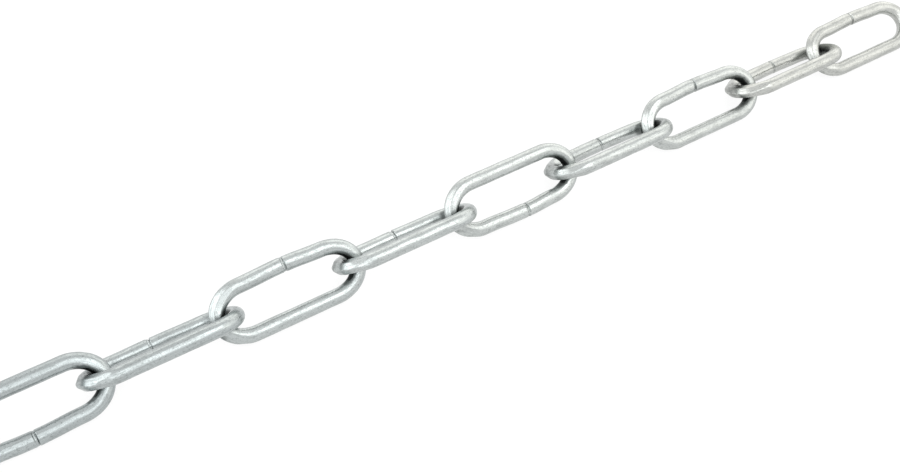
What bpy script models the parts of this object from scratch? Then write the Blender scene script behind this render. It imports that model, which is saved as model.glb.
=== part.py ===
"""A one metre length of zinc-plated long link chain, lying straight on a level surface.

Every link is bent from round wire and its two ends are butted together on one long side.
Metres, +X along the run towards its last link, +Z up, the surface it lies on at z = 0.
"""

import math

import bpy
import numpy as np
from mathutils import Matrix, Vector

# One link
WIRE_D = 0.004
INNER_LENGTH = 0.032
OUTER_WIDTH = 0.016
SEAM_BOW = 0.0004
SEAM_NECK_DEPTH = 0.0002
SEAM_NECK_HALF = 0.0005

# The run of links, with each wire this far from its neighbour's where the two links cross
LINK_COUNT = 31
CROSSING_GAP = 0.0004

# How the links lie, counted back from the last one: how far each one's width leans up from the
# surface in degrees, which long side holds the butt seam (1 is the side towards +Y), and how far
# along +X the seam sits from the middle. The run repeats each list.
LEANS = (29, 33, 40, 36, 48, 42, 46, 42, 37)
SEAM_SIDES = (1, 1, 1, 1, -1, 1, 1, 1, -1, 1, -1)
SEAM_SHIFTS = (0.0, 0.001, 0.0, 0.001, 0.002, -0.0005, 0.001, -0.0015, 0.0)

# Roundness of the solids
BEND_STEPS = 8
BEVEL_RESOLUTION = 3

ZINC_COLOUR = (0.66, 0.68, 0.70, 1.0)

WIRE_R = WIRE_D / 2
BEND_R = (OUTER_WIDTH - WIRE_D) / 2
STRAIGHT_HALF = INNER_LENGTH / 2 + WIRE_R - BEND_R
END_TO_CENTRE = STRAIGHT_HALF + BEND_R

# How finely the nearest point of two crossing links is looked for
SEARCH_STEPS = 49
SEARCH_ROUNDS = 24


def clear_scene():
    for obj in list(bpy.data.objects):
        bpy.data.objects.remove(obj, do_unlink=True)


def zinc_plated_steel():
    material = bpy.data.materials.new("zinc_plated_steel")
    material.use_nodes = True
    shader = material.node_tree.nodes["Principled BSDF"]
    shader.inputs["Base Color"].default_value = ZINC_COLOUR
    shader.inputs["Metallic"].default_value = 1.0
    shader.inputs["Roughness"].default_value = 0.3
    return material


class Link:
    """How one link lies; number 1 is the first link, at -X."""

    def __init__(self, number):
        back = LINK_COUNT - number
        away = 1 if back % 2 == 0 else -1
        self.number = number
        self.lean = away * math.radians(LEANS[back % len(LEANS)])
        self.seam_side = SEAM_SIDES[back % len(SEAM_SIDES)]
        self.seam_shift = SEAM_SHIFTS[back % len(SEAM_SHIFTS)]
        self.width_axis = Vector((0.0, math.cos(self.lean), math.sin(self.lean)))
        seam_is_low = self.seam_side * self.lean < 0
        low_side = BEND_R + (SEAM_BOW if seam_is_low else 0.0)
        self.centre = Vector((0.0, 0.0, WIRE_R + low_side * math.sin(abs(self.lean))))

    def end_points(self, end):
        """Points along the middle of the wire round one half-round end, as seen from x = 0."""
        angles = np.linspace(-math.pi / 2, math.pi / 2, SEARCH_STEPS)
        along = end * (STRAIGHT_HALF + BEND_R * np.cos(angles))
        across = BEND_R * np.sin(angles)
        middle = (0.0, self.centre.y, self.centre.z)
        return np.outer(along, (1, 0, 0)) + np.outer(across, self.width_axis) + middle


def crossing_spacing(link, following):
    """How far apart two neighbours' middles are when their wires lie CROSSING_GAP apart."""
    here = link.end_points(1)[:, None, :]
    there = following.end_points(-1)[None, :, :]
    apart, closed_up = INNER_LENGTH, INNER_LENGTH - WIRE_D
    for _ in range(SEARCH_ROUNDS):
        spacing = (apart + closed_up) / 2
        nearest = np.linalg.norm(there + (spacing, 0.0, 0.0) - here, axis=2).min()
        if nearest < WIRE_D + CROSSING_GAP:
            apart = spacing
        else:
            closed_up = spacing
    return closed_up


def lay_out_links():
    """All links in a row, each pulled up to its neighbour, with the run centred on x = 0."""
    links = [Link(number) for number in range(1, LINK_COUNT + 1)]
    for link, following in zip(links, links[1:]):
        following.centre.x = link.centre.x + crossing_spacing(link, following)
    middle = links[-1].centre.x / 2
    for link in links:
        link.centre.x -= middle
    return links


def bend(end):
    """Centreline of the half-round end at +X (1) or -X (-1), from the lower side to the upper."""
    points = []
    for step in range(BEND_STEPS + 1):
        angle = math.pi * (step / BEND_STEPS - 0.5)
        along = STRAIGHT_HALF + BEND_R * math.cos(angle)
        points.append((end * along, BEND_R * math.sin(angle), 1.0))
    return points


def seam(side, shift):
    """Centreline at the top of the bowed side, with the shallow neck of its butt seam."""
    neck = 1.0 - SEAM_NECK_DEPTH / WIRE_R
    points = []
    for offset, radius in ((-SEAM_NECK_HALF, 1.0), (0.0, neck), (SEAM_NECK_HALF, 1.0)):
        bow = SEAM_BOW * (1.0 - abs(offset) / STRAIGHT_HALF)
        points.append((shift + offset, side * (BEND_R + bow), radius))
    return points


def link_outline(side, shift):
    """The closed centreline of one link as (along, across, radius factor)."""
    upper = seam(1, shift)[::-1] if side > 0 else []
    lower = seam(-1, shift) if side < 0 else []
    return bend(1) + upper + bend(-1)[::-1] + lower


def make_link(link, hinge, material, collection):
    """One link of round wire and its place: its origin is on the hinge that it swings about."""
    world = Matrix.Translation(hinge) @ Matrix.Rotation(link.lean, 4, "X")
    centre = world.inverted() @ link.centre
    outline = link_outline(link.seam_side, link.seam_shift)

    name = f"link_{link.number:02d}"
    curve = bpy.data.curves.new(name, "CURVE")
    curve.dimensions = "3D"
    curve.bevel_depth = WIRE_R
    curve.bevel_resolution = BEVEL_RESOLUTION
    spline = curve.splines.new("POLY")
    spline.points.add(len(outline) - 1)
    spline.use_cyclic_u = True
    for point, (along, across, radius) in zip(spline.points, outline):
        point.co = (*(centre + Vector((along, across, 0.0))), 1.0)
        point.radius = radius
    curve.materials.append(material)

    obj = bpy.data.objects.new(name, curve)
    obj.matrix_local = world
    collection.objects.link(obj)
    return obj, world


def make_run(links, end, first, material, collection):
    """Hangs each link on the one before it, from a first link that is made already out to one end."""
    parent, parent_world = first
    for link, following in zip(links, links[1:]):
        # A link swings about the middle of the end wire that it hangs on
        hinge = link.centre + Vector((end * END_TO_CENTRE, 0.0, 0.0))
        obj, world = make_link(following, hinge, material, collection)
        obj.parent = parent
        obj.matrix_local = parent_world.inverted() @ world
        parent, parent_world = obj, world


def build_chain():
    clear_scene()
    collection = bpy.data.collections.new("long_link_chain")
    bpy.context.scene.collection.children.link(collection)
    material = zinc_plated_steel()
    links = lay_out_links()
    # The middle link carries the others, half of them on each side
    middle = LINK_COUNT // 2
    first = make_link(links[middle], links[middle].centre, material, collection)
    make_run(links[middle:], 1, first, material, collection)
    make_run(links[middle::-1], -1, first, material, collection)


build_chain()
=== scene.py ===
"""The looks of a one metre length of zinc-plated long link chain.

Each link is one piece of round wire, bent round at both ends and butted on one long side. A piece
here replaces the plain link of the frame, in the same place, and has the forms that bending and
butting leave: tool flats round one end, an open joint line, dings and slight waves.
Metres, +X along the run towards its last link, +Z up. A link's own axes are x along its length,
y across its width and z square to both.
"""

import math

import bmesh
import bpy
import numpy as np
from bpy.props import FloatProperty, FloatVectorProperty, PointerProperty
from mathutils import Matrix, Vector


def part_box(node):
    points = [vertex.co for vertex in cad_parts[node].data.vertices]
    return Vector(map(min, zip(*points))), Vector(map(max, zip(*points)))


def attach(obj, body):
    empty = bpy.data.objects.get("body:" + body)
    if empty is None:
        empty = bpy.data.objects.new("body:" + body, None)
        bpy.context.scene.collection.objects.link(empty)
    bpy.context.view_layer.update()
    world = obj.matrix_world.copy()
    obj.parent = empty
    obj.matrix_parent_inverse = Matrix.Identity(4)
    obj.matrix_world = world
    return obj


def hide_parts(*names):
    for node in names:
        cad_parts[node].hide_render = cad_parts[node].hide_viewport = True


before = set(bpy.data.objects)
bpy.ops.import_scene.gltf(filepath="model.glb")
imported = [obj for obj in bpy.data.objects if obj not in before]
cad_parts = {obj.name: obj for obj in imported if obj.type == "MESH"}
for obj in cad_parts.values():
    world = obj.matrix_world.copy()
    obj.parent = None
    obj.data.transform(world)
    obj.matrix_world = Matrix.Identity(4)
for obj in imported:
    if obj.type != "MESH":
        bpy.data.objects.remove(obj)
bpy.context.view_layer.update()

bl_info = {
    "name": "Long Link Chain",
    "version": (1, 0, 0),
    "blender": (4, 5, 0),
    "location": "View3D > Sidebar > Chain",
    "description": "Dresses a length of zinc-plated long link chain and lights it on a pale floor",
    "category": "Add Mesh",
}

# How the links lie, as in the solids: counted back from the last link, how far each one's width
# leans up from the floor in degrees, which long side holds the butt seam (1 is the side towards
# +Y), and how far along +X the seam sits from the middle. The run repeats each list.
LINK_COUNT = len(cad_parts)
LEANS = (29, 33, 40, 36, 48, 42, 46, 42, 37)
SEAM_SIDES = (1, 1, 1, 1, -1, 1, 1, 1, -1, 1, -1)
SEAM_SHIFTS = (0.0, 0.001, 0.0, 0.001, 0.002, -0.0005, 0.001, -0.0015, 0.0)

# How finely a link is made
WIRE_SEGMENTS = 48
BEND_STEPS = 60
BAR_STEPS = 72
SEAM_STEPS = 40
SEAM_REACH = 0.0010

# What a vertex may be off by rounding: one that is less than that past a long side's end, or before
# the seam, counts as being on it
ROUNDING = 1e-6

# What stands for the distance from the seam on the parts of the wire that don't hold it
FAR_OFF = 1.0

# Slight waves of the drawn wire: how many there are, how long they are, and how many times at most
# one goes up and down on its way round the wire
WAVE_COUNT = 9
WAVE_LENGTHS = (0.004, 0.014)
MOST_WAVE_FOLDS = 3

# Tool flats at the -X end: how many degrees round the end and round the wire each pressed one is
# centred and how deep it is, how many degrees it may be off, and how far its depth varies
PRESSED_FLATS = (
    (-56, -44, 0.00036), (-56, 44, 0.00036), (56, -44, 0.00012), (56, 44, 0.00012),
    (-66, 0, 0.00022), (66, 0, 0.00010))
PRESS_WANDER = 3.0
PRESS_SHARES = (0.9, 1.1)

# Flats rolled round the same end: how many degrees round the wire each one is and how deep, and how
# many degrees from the end's middle they begin to fade and are gone
ROLLED_FLATS = ((-75, 0.00030), (75, 0.00030), (-40, 0.00030), (40, 0.00030))
ROLLED_FADE = (45, 85)

# Rounding of the pressed flats' edges
FLAT_EDGE = 0.00008

# Painted shade inside the ends, where neighbours hang: half widths round the end and round the
# wire in degrees, at the -X end and at the +X end, and how soft their edges are
PATCH_TURNS = (38, 66)
PATCH_ANGLES = (43, 55)
PATCH_EDGE = 27

# How dark each link's painted shade is, counted back from the last one like LEANS
PATCH_SHARES = (1.0, 0.70, 1.0, 1.15, 1.0, 1.15, 1.0, 1.1, 1.0)

# Painted shade on the -X end's low side, towards the floor: how much of a patch it is, and how many
# degrees below the end's middle it begins, is full, begins to fade and is gone
LOW_SIDE_SHARE = 0.28
LOW_SIDE_START = (-35.0, 5.0)
LOW_SIDE_FADE = (20.0, 62.0)

# Painted light: how bright and how warm each link is coloured, as the light falls along the seen links,
# counted back from the last one like LEANS, and how much of its warmth a link's blue loses
LIT_TONES = (1.03, 1.04, 1.06, 1.04, 1.08, 1.05, 1.03, 0.93, 0.90)
LIT_WARMTHS = (0.034, 0.034, 0.01, 0.005, 0.005, -0.005, -0.01, -0.02, -0.025)
BLUE_LOSS = 0.8

# The two grooves of the butt seam: their half width, how far they part at the most, how far the
# joint leans, how many degrees round the wire they part and how many radians that may be off.
# Each groove: where it is in the spread, its least share of the full depth, and how much the
# depth varies round the wire
GROOVE_HALF = 0.00012
GROOVE_SPREAD = 0.00085
GROOVE_LEAN = 0.00010
OPEN_FACE = 98
OPEN_FACE_WANDER = 0.3
GROOVES = ((0.2, 0.4, 0.5), (-1.4, 0.1, 0.7))

# The wedges that cropping leaves on a link's two faces: how far they reach from the seam towards
# -X and towards +X, and what share of their depth is left between the faces
WEDGE_REACHES = (0.0007, 0.0002)
WEDGE_LEAST = 0.3

# How far from the seam the two ends are back in line
END_SLIP_REACH = 0.006

# Dings: how many there are in each link, how wide and deep they are, and by how many degrees they
# spread from an end's middle
DING_COUNT = 14
DING_WIDTHS = (0.00022, 0.0006)
DING_DEPTHS = (0.00003, 0.00011)
DING_SPREAD = 55

# How many steps a metre the patterns of the plating have, along the wire and both ways across it
DRAW_LINE_STEPS = (160.0, 3200.0, 3200.0)
MOTTLE_STEPS = (260.0, 520.0, 520.0)
GRAIN_STEPS = (2000.0, 3200.0, 3200.0)
RAGGED_STEPS = (900.0, 900.0, 900.0)

# How much of the dullness comes from the draw lines, the mottling and the grain
DULL_PARTS = (0.45, 0.25, 0.3)

# Between which values each mark sets in, and how much of its colour it then gives. Dullness and
# pits are marks on the plating; the grey, the black and the seam grooves' dark are painted shade
DULL_RANGE = (0.42, 0.62)
DULL_SHARE = 0.62
PIT_RANGE = (0.58, 0.70)
PIT_SHARE = 0.8
GREY_SHADE_RANGE = (0.10, 0.5)
GREY_SHADE_SHARE = 0.85
BLACK_RANGE = (0.66, 0.80)
BLACK_SHARE = 0.86
# Painted shade in the seam's grooves
GROOVE_RANGE = (0.36, 0.62)
GROOVE_SHARE = 0.88

# How ragged the painted shade's edges are, and what mottling, dullness and the grey shade's mask do to
# the roughness
RAGGED_SHARE = 0.5
MOTTLE_ROUGHNESS = 0.14
DULL_ROUGHNESS = 0.08
GREY_SHADE_ROUGHNESS = 0.15

# How much each pattern has of the relief's full height
DRAW_LINE_RELIEF = 0.45
MOTTLE_RELIEF = 0.5
GRAIN_RELIEF = 0.4
PIT_RELIEF = 0.25

# The photo's frame and the camera in it: the camera is aimed by the floor under the middle link
# that shows, and by where that point is in the frame. Nothing nearer than the last length shows.
PHOTO_WIDTH = 900
PHOTO_HEIGHT = 473
SENSOR_WIDTH = 0.036
AIM_NODE = "link_27"
AIM_PIXEL = (510.1, 206.6)
NEAREST_SEEN = 0.01

# Colours of the lights
COOL = (0.95, 0.985, 1.0)
NEUTRAL = (0.99, 1.0, 0.995)
WARM = (1.0, 0.97, 0.90)

# The softboxes overhead and those round the sides: the way from the aimed link to each one, the
# way its long side runs, its two sides, its share of the group's brightness, and its colour
OVERHEAD_SOFTBOXES = {
    "wide_left_softbox": ((-0.28, -0.48, 0.80), (1.0, 0.0, 0.0), (0.90, 0.96), 0.84, COOL),
    "wide_right_softbox": ((0.62, -0.48, 0.80), (1.0, 0.0, 0.0), (0.90, 0.96), 1.00, WARM),
    "overhead_softbox": ((0.20, -0.36, 0.74), (1.0, 0.0, 0.0), (0.52, 0.64), 2.40, NEUTRAL),
}
SIDE_SOFTBOXES = {
    "left_softbox": ((-1.20, 0.30, 0.50), (0.2, 1.0, 0.0), (1.9, 1.0), 1.15, COOL),
    "high_left_softbox": ((-0.66, 0.28, 0.76), (0.3, 1.0, 0.0), (0.75, 0.5), 1.20, NEUTRAL),
    "front_left_softbox": ((-0.43, -0.74, 0.62), (1.0, -0.5, 0.0), (0.56, 0.46), 1.20, NEUTRAL),
    "back_softbox": ((0.80, 1.00, 0.62), (1.0, -0.3, 0.0), (2.1, 1.0), 0.76, WARM),
    "right_softbox": ((1.15, -0.45, 0.42), (0.4, 1.0, 0.0), (2.0, 0.9), 0.40, WARM),
}


class ChainLinkSizes(bpy.types.PropertyGroup):
    """Sizes of one link and of the marks that its making leaves."""

    wire_diameter: FloatProperty(
        name="Wire diameter", description="Thickness of the wire, drawn a little under its nominal 4 mm",
        default=0.00386, min=0.001, unit="LENGTH", precision=5)
    inner_length: FloatProperty(
        name="Inside length", description="Length of a link's eye, and the pitch of the tight chain",
        default=0.03214, min=0.01, unit="LENGTH", precision=5)
    outer_width: FloatProperty(
        name="Outside width", description="Width over both long sides",
        default=0.01586, min=0.005, unit="LENGTH", precision=5)
    bend_length: FloatProperty(
        name="Bend length", description="How far the middle of the wire bulges past a long side's end",
        default=0.0074, min=0.002, unit="LENGTH", precision=4)
    seam_bow: FloatProperty(
        name="Seam bow", description="How far the butted side bulges out at its seam",
        default=0.0004, min=0.0, unit="LENGTH", precision=5)
    groove_depth: FloatProperty(
        name="Seam groove depth", description="Depth of the two dark grooves at the butt seam",
        default=0.00020, min=0.0, unit="LENGTH", precision=5)
    chamfer_depth: FloatProperty(
        name="Chamfer depth", description="How far the wire's cropped ends are drawn in",
        default=0.00036, min=0.0, unit="LENGTH", precision=5)
    end_slip: FloatProperty(
        name="End slip", description="How far the two butted ends miss each other sideways",
        default=0.00006, min=0.0, unit="LENGTH", precision=5)
    flat_share: FloatProperty(
        name="Tool flat share", description="How much of their full depth the tool flats have",
        default=1.0, min=0.0, max=1.5)
    wave_depth: FloatProperty(
        name="Wave depth", description="Unevenness of the drawn and plated wire",
        default=0.00004, min=0.0, unit="LENGTH", precision=5)

    def wire_r(self):
        return self.wire_diameter / 2

    def bend_r(self):
        return (self.outer_width - self.wire_diameter) / 2

    def end_to_centre(self):
        return self.inner_length / 2 + self.wire_r()

    def round_half(self):
        return self.end_to_centre() - self.bend_r()

    def straight_half(self):
        return self.end_to_centre() - self.bend_length


class ZincFinishSettings(bpy.types.PropertyGroup):
    """Colours and gloss of the plated wire, and the colours of its painted shade."""

    zinc: FloatVectorProperty(
        name="Zinc", description="Clean bright plating",
        subtype="COLOR", size=3, min=0.0, max=1.0, default=(0.462, 0.488, 0.482))
    dull_zinc: FloatVectorProperty(
        name="Dull zinc", description="Plating that is duller along the draw lines",
        subtype="COLOR", size=3, min=0.0, max=1.0, default=(0.27, 0.288, 0.283))
    # Painted shade: the grey round the shade inside the ends, and low on the -X ends
    grey_shade_zinc: FloatVectorProperty(
        name="Painted grey shade", description="Thin grey plating round the dark patches",
        subtype="COLOR", size=3, min=0.0, max=1.0, default=(0.10, 0.11, 0.108))
    # Painted shade: the near-black colour of the shade inside the ends where neighbours hang, and of the
    # seam's grooves
    shade_black: FloatVectorProperty(
        name="Painted black shade", description="Dark steel where the plating did not reach",
        subtype="COLOR", size=3, min=0.0, max=1.0, default=(0.016, 0.020, 0.019))
    roughness: FloatProperty(
        name="Roughness", description="Roughness of clean plating",
        subtype="FACTOR", min=0.0, max=1.0, default=0.25)
    relief: FloatProperty(
        name="Fine relief", description="Height of the draw lines and pits",
        default=0.00004, min=0.0, unit="LENGTH", precision=6)


class StudioSettings(bpy.types.PropertyGroup):
    """Floor, lights and camera."""

    floor_colour: FloatVectorProperty(
        name="Floor", description="Colour of the plain floor",
        subtype="COLOR", size=3, min=0.0, max=1.0, default=(0.10, 0.10, 0.10))
    floor_glow: FloatProperty(
        name="Floor glow", description="Light that the floor gives from below, as a light table does",
        default=0.88, min=0.0)
    floor_size: FloatProperty(
        name="Floor size", description="Side of the square floor",
        default=6.0, min=1.0, unit="LENGTH")
    room_light: FloatProperty(
        name="Room light", description="Strength of the white surroundings",
        default=1.12, min=0.0)
    overhead_light: FloatProperty(
        name="Overhead light", description="Brightness of each softbox overhead",
        default=0.5, min=0.0)
    side_light: FloatProperty(
        name="Side light", description="Brightness of the softboxes round the sides",
        default=1.0, min=0.0)
    turn: FloatProperty(
        name="Camera turn", description="How far the view turns from +Y towards +X",
        subtype="ANGLE", default=math.radians(34.77))
    look_down: FloatProperty(
        name="Camera look down", description="How far the view dips under the horizon",
        subtype="ANGLE", default=math.radians(50.75))
    roll: FloatProperty(
        name="Camera roll", description="How far the camera rolls about its own view",
        subtype="ANGLE", default=math.radians(3.76))
    distance: FloatProperty(
        name="Camera distance", description="How deep in the view the aimed point is",
        default=0.2858, min=0.05, unit="LENGTH", precision=4)
    lens: FloatProperty(
        name="Lens", description="Focal length",
        default=0.04402, min=0.01, unit="CAMERA", precision=5)


def smooth_step(low, high, value):
    """0 below low, 1 above high and an even slope between, for arrays."""
    share = np.clip((value - low) / (high - low), 0.0, 1.0)
    return share * share * (3.0 - 2.0 * share)


class LinkPlace:
    """How one link lies; number 1 is the first link, at -X."""

    def __init__(self, number, sizes):
        back = LINK_COUNT - number
        away = 1 if back % 2 == 0 else -1
        self.number = number
        self.node = f"link_{number:02d}"
        self.lean = away * math.radians(LEANS[back % len(LEANS)])
        self.seam_side = SEAM_SIDES[back % len(SEAM_SIDES)]
        self.seam_shift = SEAM_SHIFTS[back % len(SEAM_SHIFTS)]
        # Painted shade: how dark this link's shade inside its ends is
        self.shade_share = PATCH_SHARES[back % len(PATCH_SHARES)]
        # Painted light: this link's brightness and warmth, as the light falls on it
        tone, warmth = LIT_TONES[back % len(LIT_TONES)], LIT_WARMTHS[back % len(LIT_WARMTHS)]
        self.tone = (tone * (1.0 + warmth), tone, tone * (1.0 - BLUE_LOSS * warmth))
        low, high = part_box(self.node)
        seam_is_low = self.seam_side * self.lean < 0
        low_side = sizes.bend_r() + (sizes.seam_bow if seam_is_low else 0.0)
        height = sizes.wire_r() + low_side * math.sin(abs(self.lean))
        self.centre = Vector(((low.x + high.x) / 2, 0.0, height))

    def matrix(self):
        return Matrix.Translation(self.centre) @ Matrix.Rotation(self.lean, 4, "X")


def edges_of(geometry):
    return [item for item in geometry if isinstance(item, bmesh.types.BMEdge) and item.is_boundary]


def vertices_of(geometry):
    return [item for item in geometry if isinstance(item, bmesh.types.BMVert)]


def seam_stations(half, seam_shift):
    """Places along the butted side, from -x to +x, close together at its seam."""
    plain_steps = BAR_STEPS - SEAM_STEPS
    left, right = seam_shift - SEAM_REACH, seam_shift + SEAM_REACH
    left_steps = round(plain_steps * (left + half) / (left + 2 * half - right))
    return np.concatenate((
        np.linspace(-half, left, left_steps + 1)[:-1],
        np.linspace(left, right, SEAM_STEPS + 1)[:-1],
        np.linspace(right, half, plain_steps - left_steps + 1)))


def bend_end(bm, ring, end, sizes):
    """Bends a ring of edges round one end of the link, half a turn against the clock."""
    vertices = list(dict.fromkeys(vertex for edge in ring for vertex in edge.verts))
    spun = bmesh.ops.spin(
        bm, geom=vertices + ring, cent=(end * sizes.round_half(), 0.0, 0.0),
        axis=(0.0, 0.0, 1.0), angle=math.pi, steps=BEND_STEPS)
    return edges_of(spun["geom_last"])


def plain_link(sizes):
    """The mesh of one closed link of round wire, about its own middle."""
    half = sizes.round_half()
    bm = bmesh.new()
    start = Matrix.Translation((half, -sizes.bend_r(), 0.0)) @ Matrix.Rotation(math.pi / 2, 4, "Y")
    bmesh.ops.create_circle(bm, segments=WIRE_SEGMENTS, radius=sizes.wire_r(), matrix=start)
    first = list(bm.edges)

    ring = bend_end(bm, first, 1, sizes)
    grown = bmesh.ops.extrude_edge_only(bm, edges=ring)["geom"]
    bmesh.ops.translate(bm, verts=vertices_of(grown), vec=(-2 * half, 0.0, 0.0))
    ring = bend_end(bm, edges_of(grown), -1, sizes)
    bmesh.ops.bridge_loops(bm, edges=ring + first)

    lengthwise = [edge for edge in bm.edges if edge.calc_length() > half]
    bmesh.ops.subdivide_edges(bm, edges=lengthwise, cuts=BAR_STEPS - 1, use_grid_fill=True)
    bmesh.ops.recalc_face_normals(bm, faces=bm.faces)
    mesh = bpy.data.meshes.new("plain_link")
    bm.to_mesh(mesh)
    bm.free()
    return mesh


class WirePoints:
    """A link's vertices by where they are on its wire, so that its surface can be worked.

    along is the way round the link from its seam, turn is 0 at the middle of an end, and angle
    goes round the wire, 0 on the link's outside and positive towards its own +z.
    """

    def __init__(self, mesh, place, sizes):
        self.sizes = sizes
        self.place = place
        self.draws = np.random.default_rng(place.number)
        flat = np.empty(len(mesh.vertices) * 3)
        mesh.vertices.foreach_get("co", flat)
        x, y, z = flat.reshape(-1, 3).T
        round_half, bend_r = sizes.round_half(), sizes.bend_r()
        nearest = np.clip(x, -round_half, round_half)
        reach = np.hypot(x - nearest, y)
        round_x, round_y = (x - nearest) / reach, y / reach
        self.out = reach - bend_r
        self.up = z.copy()
        self.angle = np.arctan2(self.up, self.out)
        self.end = np.where(x > 0, 1.0, -1.0)
        self.turn = np.arctan2(round_y, self.end * round_x)
        self.on_bend = np.abs(x) > round_half + ROUNDING
        self.butted = ~self.on_bend & (y * place.seam_side > 0.0)

        # The spun ends are half rounds, and each is drawn out here to a half oval
        half, bulge = sizes.straight_half(), sizes.bend_length
        even = np.linspace(-round_half, round_half, BAR_STEPS + 1)
        seam_x = np.interp(x, even, seam_stations(half, place.seam_shift))
        bar_x = np.where(self.butted, seam_x, x * half / round_half)
        self.middle_x = np.where(self.on_bend, self.end * (half + bulge * np.cos(self.turn)), bar_x)
        self.middle_y = bend_r * round_y
        steepness = np.hypot(bend_r * round_x, bulge * round_y)
        self.way_x = bend_r * round_x / steepness
        self.way_y = bulge * round_y / steepness
        self.along = self.way_round()
        self.seam = np.zeros(len(x))

    def way_round(self):
        """How far round the link each vertex is, from the seam."""
        half, bend_r = self.sizes.straight_half(), self.sizes.bend_r()
        turns = np.linspace(-math.pi / 2, math.pi / 2, 2 * BEND_STEPS + 1)
        bulge = self.sizes.bend_length
        steps = np.hypot(np.diff(bulge * np.cos(turns)), np.diff(bend_r * np.sin(turns)))
        lengths = np.concatenate(((0.0,), np.cumsum(steps)))
        bend = lengths[-1]
        on_bend = np.interp(self.turn, turns, lengths)
        on_bend = np.where(self.end > 0, on_bend, 2 * bend + 2 * half - on_bend)
        on_top = bend + half - self.middle_x
        on_foot = 2 * bend + 3 * half + self.middle_x
        place = np.where(self.on_bend, on_bend, np.where(self.middle_y > 0, on_top, on_foot))
        shift = self.place.seam_shift
        start = bend + half - shift if self.place.seam_side > 0 else 2 * bend + 3 * half + shift
        return np.mod(place - start + ROUNDING, 2 * bend + 4 * half) - ROUNDING

    def seam_distance(self):
        """How far along x each vertex is from the seam, and far off on the other parts."""
        return np.where(self.butted, self.middle_x - self.place.seam_shift, FAR_OFF)

    def draw_in(self, depth):
        """Moves the surface in towards the middle of the wire."""
        self.out -= depth * np.cos(self.angle)
        self.up -= depth * np.sin(self.angle)

    def wave(self):
        """Slight waves of the drawn wire: a few sines that close round it."""
        total = np.zeros(len(self.out))
        for _ in range(WAVE_COUNT):
            length = self.draws.uniform(*WAVE_LENGTHS)
            folds = self.draws.integers(0, MOST_WAVE_FOLDS + 1)
            phase = self.draws.uniform(0.0, 2 * math.pi)
            total += np.sin(2 * math.pi * self.along / length + folds * self.angle + phase)
        self.draw_in(self.sizes.wave_depth * (0.5 + total / WAVE_COUNT))

    def ding(self):
        """Small dents, most of them round the ends where links knock together."""
        total = np.zeros(len(self.out))
        for _ in range(DING_COUNT):
            end = self.draws.choice((-1.0, 1.0))
            turn = self.draws.normal(0.0, math.radians(DING_SPREAD))
            angle = self.draws.uniform(-math.pi, math.pi)
            width = self.draws.uniform(*DING_WIDTHS)
            depth = self.draws.uniform(*DING_DEPTHS)
            off_turn = (self.turn - turn) * (self.sizes.bend_r() + self.out)
            off_angle = self.sizes.wire_r() * np.angle(np.exp(1j * (self.angle - angle)))
            near = np.exp(-(off_turn ** 2 + off_angle ** 2) / width ** 2)
            total += np.where(self.on_bend & (self.end == end), depth * near, 0.0)
        self.draw_in(total)

    def press(self, points, normal, level):
        """Presses points back to a plane, with a slightly rounded edge."""
        over = points @ normal - level
        over = (over + np.hypot(over, FLAT_EDGE) - FLAT_EDGE) / 2
        return points - np.outer(np.maximum(over, 0.0), normal)

    def roll_flats(self):
        """The flats that the bending tool rolls round the -X end."""
        fade_start, fade_end = ROLLED_FADE
        share = 1.0 - smooth_step(math.radians(fade_start), math.radians(fade_end), np.abs(self.turn))
        share = np.where(self.on_bend & (self.end < 0), share, 0.0)
        for tilt, depth in ROLLED_FLATS:
            tilt_r = math.radians(tilt)
            over = self.out * math.cos(tilt_r) + self.up * math.sin(tilt_r)
            level = self.sizes.wire_r() - depth * share * self.sizes.flat_share
            over = np.where(share > 0.0, np.maximum(over - level, 0.0), 0.0)
            self.out -= over * math.cos(tilt_r)
            self.up -= over * math.sin(tilt_r)

    def press_flats(self, points):
        """The tool's flats at both sides of the -X end, each a plane that cuts the wire's outside."""
        half, bend_r, bulge = self.sizes.straight_half(), self.sizes.bend_r(), self.sizes.bend_length
        for turn, tilt, depth in PRESSED_FLATS:
            turn_r = math.radians(turn + self.draws.uniform(-PRESS_WANDER, PRESS_WANDER))
            tilt_r = math.radians(tilt + self.draws.uniform(-PRESS_WANDER, PRESS_WANDER))
            depth *= self.sizes.flat_share * self.draws.uniform(*PRESS_SHARES)
            middle = Vector((-half - bulge * math.cos(turn_r), bend_r * math.sin(turn_r), 0.0))
            way = Vector((-bend_r * math.cos(turn_r), bulge * math.sin(turn_r), 0.0)).normalized()
            normal = way * math.cos(tilt_r) + Vector((0.0, 0.0, math.sin(tilt_r)))
            level = normal.dot(middle) + self.sizes.wire_r() - depth
            points = self.press(points, np.array(normal), level)
        return points

    def butt_ends(self):
        """The bowed side and the open joint line of its butt seam."""
        distance = self.seam_distance()
        shift, half = self.place.seam_shift, self.sizes.straight_half()
        side = np.where(distance < 0.0, half + shift, half - shift)
        bow = np.where(self.butted, 0.5 + 0.5 * np.cos(math.pi * distance / side), 0.0)
        self.out += self.sizes.seam_bow * bow

        # The two ends miss each other a little, and drift back into line along the bar
        slip_way = self.draws.uniform(0.0, 2 * math.pi)
        slip = 1.0 - smooth_step(0.0, END_SLIP_REACH, np.abs(distance))
        slip *= self.sizes.end_slip * np.clip(distance / GROOVE_HALF, -1.0, 1.0) / 2
        self.out += slip * math.cos(slip_way) - np.abs(slip)
        self.up += slip * math.sin(slip_way)

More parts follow.
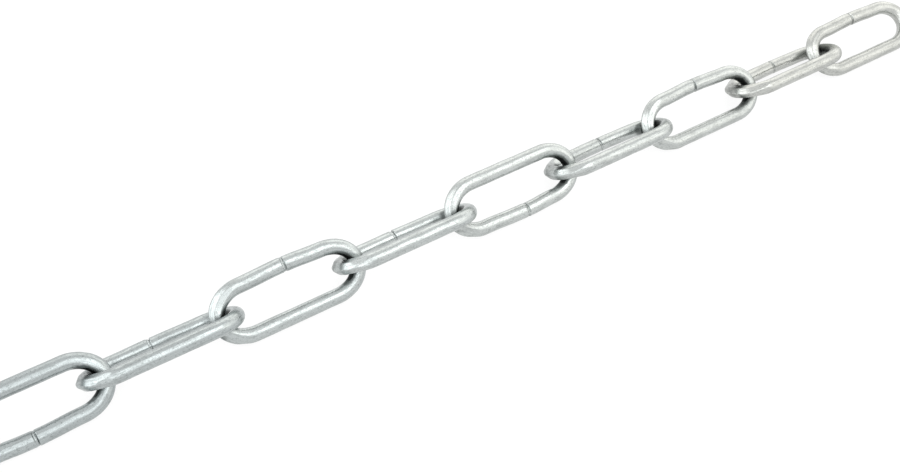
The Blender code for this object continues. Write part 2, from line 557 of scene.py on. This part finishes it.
        # Two grooves that part on one face of the link and meet on the other
        open_way = self.draws.uniform(-OPEN_FACE_WANDER, OPEN_FACE_WANDER) + math.radians(OPEN_FACE)
        spread = GROOVE_SPREAD * (0.5 + 0.5 * np.cos(self.angle - open_way)) / 2
        lean = GROOVE_LEAN * np.sin(self.angle + self.draws.uniform(0.0, 2 * math.pi))
        deep_ways = self.draws.uniform(0.0, 2 * math.pi, len(GROOVES))
        for (place, least, varied), deep_way in zip(GROOVES, deep_ways):
            groove = np.exp(-((distance - lean - place * spread) / GROOVE_HALF) ** 2)
            deep = 0.5 - 0.5 * np.cos(2 * self.angle + deep_way)
            self.seam = np.maximum(self.seam, groove * (least + varied * deep))

        # The wire was cropped from both faces of the link, more so on the -X side of the seam
        before, after = WEDGE_REACHES
        reach = np.where(distance < lean, before, after)
        wedge = np.clip(1.0 - np.abs(distance - lean) / reach, 0.0, 1.0)
        wedge *= WEDGE_LEAST + (1.0 - WEDGE_LEAST) * np.cos(self.angle - open_way) ** 2
        self.draw_in(self.sizes.groove_depth * self.seam + self.sizes.chamfer_depth * wedge)

    def patch(self):
        """Share of painted shade inside the ends that hold a neighbour, and of painted grey shade low on
        the -X end.
        """
        edge = math.radians(PATCH_EDGE)
        total = np.zeros(len(self.out))
        for end, turn, angle in zip((-1.0, 1.0), PATCH_TURNS, PATCH_ANGLES):
            if 1 <= self.place.number + end <= LINK_COUNT:
                turn, angle = math.radians(turn), math.radians(angle)
                inside = 1.0 - smooth_step(angle - edge, angle + edge, math.pi - np.abs(self.angle))
                round_end = 1.0 - smooth_step(turn - edge, turn + edge, np.abs(self.turn))
                near = self.on_bend & (self.end == end)
                total += np.where(near, self.place.shade_share * inside * round_end, 0.0)

        # Painted shade: the -X end is darker at its tip and just below it, on its low side
        low_turn = -math.copysign(1.0, self.place.lean) * np.degrees(self.turn)
        grey = smooth_step(*LOW_SIDE_START, low_turn) * (1.0 - smooth_step(*LOW_SIDE_FADE, low_turn))
        grey = np.where(self.on_bend & (self.end < 0), LOW_SIDE_SHARE * grey, 0.0)
        return np.maximum(total, grey)

    def coordinates(self):
        return np.stack((self.middle_x + self.out * self.way_x,
                         self.middle_y + self.out * self.way_y, self.up), axis=1)

    def wire_coordinates(self):
        """The place on the straightened wire, for patterns that follow it, other for each link."""
        start = self.draws.uniform(-1.0, 1.0, 3)
        radius = self.sizes.wire_r()
        across = (radius * np.cos(self.angle), radius * np.sin(self.angle))
        return np.stack((self.along, *across), axis=1) + start


def put_attribute(mesh, name, kind, field, values):
    attribute = mesh.attributes.new(name, kind, "POINT")
    attribute.data.foreach_set(field, np.ascontiguousarray(values, dtype=np.float32).ravel())


def shape_link(mesh, place, sizes):
    """Works the plain wire of a link and puts it in its place."""
    points = WirePoints(mesh, place, sizes)
    patch = points.patch()
    points.wave()
    points.ding()
    points.butt_ends()
    points.roll_flats()
    mesh.vertices.foreach_set("co", points.press_flats(points.coordinates()).ravel())
    put_attribute(mesh, "patch", "FLOAT", "value", patch)
    put_attribute(mesh, "seam", "FLOAT", "value", points.seam)
    put_attribute(mesh, "tone", "FLOAT_VECTOR", "vector", np.tile(place.tone, (len(patch), 1)))
    put_attribute(mesh, "wire_place", "FLOAT_VECTOR", "vector", points.wire_coordinates())
    mesh.transform(place.matrix())
    mesh.shade_smooth()
    mesh.update()


class Signal:
    """A value that changes over the surface: each operator on it adds a Math node."""

    def __init__(self, finish, socket):
        self.finish = finish
        self.socket = socket

    def __add__(self, other):
        return self.finish.math("ADD", self, other)

    def __radd__(self, other):
        return self.finish.math("ADD", other, self)

    def __sub__(self, other):
        return self.finish.math("SUBTRACT", self, other)

    def __rsub__(self, other):
        return self.finish.math("SUBTRACT", other, self)

    def __mul__(self, other):
        return self.finish.math("MULTIPLY", self, other)

    def __rmul__(self, other):
        return self.finish.math("MULTIPLY", other, self)


class Finish:
    """A material and the one method that adds nodes to it."""

    def __init__(self, name):
        self.material = bpy.data.materials.new(name)
        self.material.use_nodes = True
        self.tree = self.material.node_tree
        self.shader = self.tree.nodes["Principled BSDF"]

    def set_socket(self, socket, value):
        if isinstance(value, Signal):
            self.tree.links.new(value.socket, socket)
        else:
            socket.default_value = value

    def node(self, kind, settings, values, output=0):
        """Adds a node: its settings first, then the values or links of its sockets."""
        node = self.tree.nodes.new(kind)
        for name, value in settings.items():
            setattr(node, name, value)
        for socket, value in values.items():
            self.set_socket(node.inputs[socket], value)
        return Signal(self, node.outputs[output])

    def math(self, operation, first, second):
        return self.node("ShaderNodeMath", {"operation": operation}, {0: first, 1: second})

    def attribute(self, name, output):
        return self.node("ShaderNodeAttribute", {"attribute_name": name}, {}, output)

    def stretch(self, vector, scales):
        return self.node("ShaderNodeVectorMath", {"operation": "MULTIPLY"}, {0: vector, 1: scales})

    def noise(self, vector, detail=2.0, roughness=0.5):
        values = {"Vector": vector, "Scale": 1.0, "Detail": detail, "Roughness": roughness}
        return self.node("ShaderNodeTexNoise", {"noise_dimensions": "3D"}, values)

    def between(self, value, low, high):
        """0 where the value is low, 1 where it is high."""
        settings = {"interpolation_type": "SMOOTHSTEP"}
        values = {"Value": value, "From Min": low, "From Max": high}
        return self.node("ShaderNodeMapRange", settings, values)

    def mix(self, first, second, share):
        settings = {"data_type": "RGBA", "blend_type": "MIX"}
        return self.node("ShaderNodeMix", settings, {0: share, 6: first, 7: second}, output=2)

    def feed(self, **values):
        for name, value in values.items():
            self.set_socket(self.shader.inputs[name.replace("_", " ").title()], value)


def opaque(colour):
    return (*colour, 1.0)


def zinc_plating(settings):
    """Bright zinc over drawn wire: lengthwise draw lines, mottling and pits, with painted shade: grey
    and black inside the ends where neighbours hang, grey low on the -X ends, and dark seam grooves.
    """
    finish = Finish("bright_zinc_plating")
    wire = finish.attribute("wire_place", "Vector")
    draw_lines = finish.noise(finish.stretch(wire, DRAW_LINE_STEPS), detail=3.0, roughness=0.6)
    mottle = finish.noise(finish.stretch(wire, MOTTLE_STEPS), detail=3.0)
    grain = finish.noise(finish.stretch(wire, GRAIN_STEPS), detail=2.0)
    pits = finish.between(grain, *PIT_RANGE)

    ragged = finish.noise(finish.stretch(wire, RAGGED_STEPS), detail=3.0)
    # Painted shade: the patch attribute holds the shade inside the ends where neighbours hang and low on
    # the -X ends; its edges go grey and its core goes black
    patch = finish.attribute("patch", "Fac") + (ragged - 0.5) * RAGGED_SHARE
    grey_shade = finish.between(patch, *GREY_SHADE_RANGE)
    black = finish.between(patch, *BLACK_RANGE)
    # Painted shade in the seam's two grooves, made ragged
    groove = finish.attribute("seam", "Fac") * finish.between(ragged, *GROOVE_RANGE)

    line_part, mottle_part, grain_part = DULL_PARTS
    dull_sum = draw_lines * line_part + mottle * mottle_part + grain * grain_part
    dullness = finish.between(dull_sum, *DULL_RANGE)
    colour = finish.mix(opaque(settings.zinc), opaque(settings.dull_zinc), dullness * DULL_SHARE)
    colour = finish.mix(colour, opaque(settings.dull_zinc), pits * PIT_SHARE)
    # Painted shade: grey round the patches and low on the -X ends
    colour = finish.mix(colour, opaque(settings.grey_shade_zinc), grey_shade * GREY_SHADE_SHARE)
    # Painted shade: black at the patches' core
    colour = finish.mix(colour, opaque(settings.shade_black), black * BLACK_SHARE)
    # Painted shade: near black in the seam's grooves
    colour = finish.mix(colour, opaque(settings.shade_black), groove * GROOVE_SHARE)
    # Painted light: each link lighter or darker, warmer or cooler, as the light falls along the run
    colour = finish.stretch(colour, finish.attribute("tone", "Vector"))

    rough = settings.roughness + (mottle - 0.5) * MOTTLE_ROUGHNESS
    rough = rough + dullness * DULL_ROUGHNESS + grey_shade * GREY_SHADE_ROUGHNESS
    height = draw_lines * DRAW_LINE_RELIEF + mottle * MOTTLE_RELIEF
    height = height + grain * GRAIN_RELIEF - pits * PIT_RELIEF
    relief = finish.node("ShaderNodeBump", {}, {
        "Strength": 1.0, "Distance": settings.relief, "Height": height})

    finish.feed(metallic=1.0, base_color=colour, roughness=rough, normal=relief)
    return finish.material


def pale_floor(colour, glow):
    finish = Finish("pale_floor")
    finish.feed(base_color=opaque(colour), roughness=0.8, emission_color=(1.0, 1.0, 1.0, 1.0),
                emission_strength=glow)
    return finish.material


def link_to_scene(name, data):
    piece = bpy.data.objects.new(name, data)
    bpy.context.scene.collection.objects.link(piece)
    return piece


class CHAIN_OT_links(bpy.types.Operator):
    """Make every link of the chain and hang it on the link's own body"""

    bl_idname = "long_link_chain.links"
    bl_label = "Make Links"
    bl_options = {"REGISTER", "UNDO"}

    def execute(self, context):
        sizes = context.scene.chain_link_sizes
        plain = plain_link(sizes)
        plain.materials.append(zinc_plating(context.scene.zinc_finish_settings))
        for number in range(1, LINK_COUNT + 1):
            place = LinkPlace(number, sizes)
            mesh = plain.copy()
            shape_link(mesh, place, sizes)
            piece = link_to_scene(f"zinc_link_{number:02d}", mesh)
            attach(piece, place.node)
            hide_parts(place.node)
        bpy.data.meshes.remove(plain)
        return {"FINISHED"}


def add_floor(studio):
    """The pale floor under the chain."""
    bm = bmesh.new()
    bmesh.ops.create_grid(bm, x_segments=1, y_segments=1, size=studio.floor_size / 2)
    mesh = bpy.data.meshes.new("floor")
    bm.to_mesh(mesh)
    bm.free()
    mesh.materials.append(pale_floor(studio.floor_colour, studio.floor_glow))
    link_to_scene("floor", mesh)


def add_room_light(strength):
    world = bpy.data.worlds.new("white_room")
    world.use_nodes = True
    background = world.node_tree.nodes["Background"]
    background.inputs["Color"].default_value = (1.0, 1.0, 1.0, 1.0)
    background.inputs["Strength"].default_value = strength
    bpy.context.scene.world = world


def add_softbox(name, aim, way, long_side, size, brightness, colour):
    """A rectangular softbox of even brightness at aim + way, its length along long_side."""
    light = bpy.data.lights.new(name, "AREA")
    light.shape = "RECTANGLE"
    light.size, light.size_y = size
    light.energy = brightness * math.pi * light.size * light.size_y
    light.color = colour
    lamp = link_to_scene(name, light)
    way, long_side = Vector(way), Vector(long_side)
    facing = way.normalized()
    across = (long_side - facing * long_side.dot(facing)).normalized()
    axes = Matrix((across, facing.cross(across), facing)).transposed().to_4x4()
    lamp.matrix_world = Matrix.Translation(aim + way) @ axes


def add_camera(studio):
    """The photo's camera, placed so that the aimed point falls on its pixel."""
    low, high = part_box(AIM_NODE)
    target = Vector(((low.x + high.x) / 2, 0.0, 0.0))
    level = math.cos(studio.look_down)
    forward = Vector((math.sin(studio.turn) * level, math.cos(studio.turn) * level,
                      -math.sin(studio.look_down)))
    right = forward.cross(Vector((0.0, 0.0, 1.0))).normalized()
    up = right.cross(forward)
    rolled_right = math.cos(studio.roll) * right + math.sin(studio.roll) * up
    rolled_up = math.cos(studio.roll) * up - math.sin(studio.roll) * right

    pixel = SENSOR_WIDTH / PHOTO_WIDTH / studio.lens
    across = (AIM_PIXEL[0] - PHOTO_WIDTH / 2) * pixel
    above = (PHOTO_HEIGHT / 2 - AIM_PIXEL[1]) * pixel
    to_target = forward + across * rolled_right + above * rolled_up

    # Blender gives a camera's sensor and lens in millimetres
    data = bpy.data.cameras.new("camera")
    data.sensor_width = SENSOR_WIDTH * 1000
    data.lens = studio.lens * 1000
    data.clip_start = NEAREST_SEEN
    camera = link_to_scene("camera", data)
    axes = Matrix((rolled_right, rolled_up, -forward)).transposed().to_4x4()
    camera.matrix_world = Matrix.Translation(target - to_target * studio.distance) @ axes
    bpy.context.scene.camera = camera


class CHAIN_OT_stage(bpy.types.Operator):
    """Set up the pale floor, the soft light and the camera"""

    bl_idname = "long_link_chain.stage"
    bl_label = "Set Up Stage"
    bl_options = {"REGISTER", "UNDO"}

    def execute(self, context):
        studio = context.scene.studio_settings
        add_floor(studio)
        add_room_light(studio.room_light)
        aim = Vector((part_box(AIM_NODE)[0].x, 0.0, 0.0))
        for softboxes, brightness in ((OVERHEAD_SOFTBOXES, studio.overhead_light),
                                      (SIDE_SOFTBOXES, studio.side_light)):
            for name, (way, long_side, size, share, colour) in softboxes.items():
                add_softbox(name, aim, way, long_side, size, brightness * share, colour)
        add_camera(studio)
        context.scene.view_settings.view_transform = "Standard"
        return {"FINISHED"}


class CHAIN_PT_panel(bpy.types.Panel):
    """Sizes, finish and stage of the chain"""

    bl_idname = "CHAIN_PT_panel"
    bl_label = "Long Link Chain"
    bl_space_type = "VIEW_3D"
    bl_region_type = "UI"
    bl_category = "Chain"

    def draw(self, context):
        layout = self.layout
        for group, operator in (("chain_link_sizes", CHAIN_OT_links), ("zinc_finish_settings", None),
                                ("studio_settings", CHAIN_OT_stage)):
            settings = getattr(context.scene, group)
            column = layout.column()
            for name in settings.__annotations__:
                column.prop(settings, name)
            if operator:
                layout.operator(operator.bl_idname)


CLASSES = (ChainLinkSizes, ZincFinishSettings, StudioSettings,
           CHAIN_OT_links, CHAIN_OT_stage, CHAIN_PT_panel)


def register():
    for item in CLASSES:
        bpy.utils.register_class(item)
    bpy.types.Scene.chain_link_sizes = PointerProperty(type=ChainLinkSizes)
    bpy.types.Scene.zinc_finish_settings = PointerProperty(type=ZincFinishSettings)
    bpy.types.Scene.studio_settings = PointerProperty(type=StudioSettings)


def unregister():
    del bpy.types.Scene.studio_settings
    del bpy.types.Scene.zinc_finish_settings
    del bpy.types.Scene.chain_link_sizes
    for item in reversed(CLASSES):
        bpy.utils.unregister_class(item)


def main():
    register()
    bpy.ops.long_link_chain.links()
    bpy.ops.long_link_chain.stage()


if __name__ == "__main__":
    main()
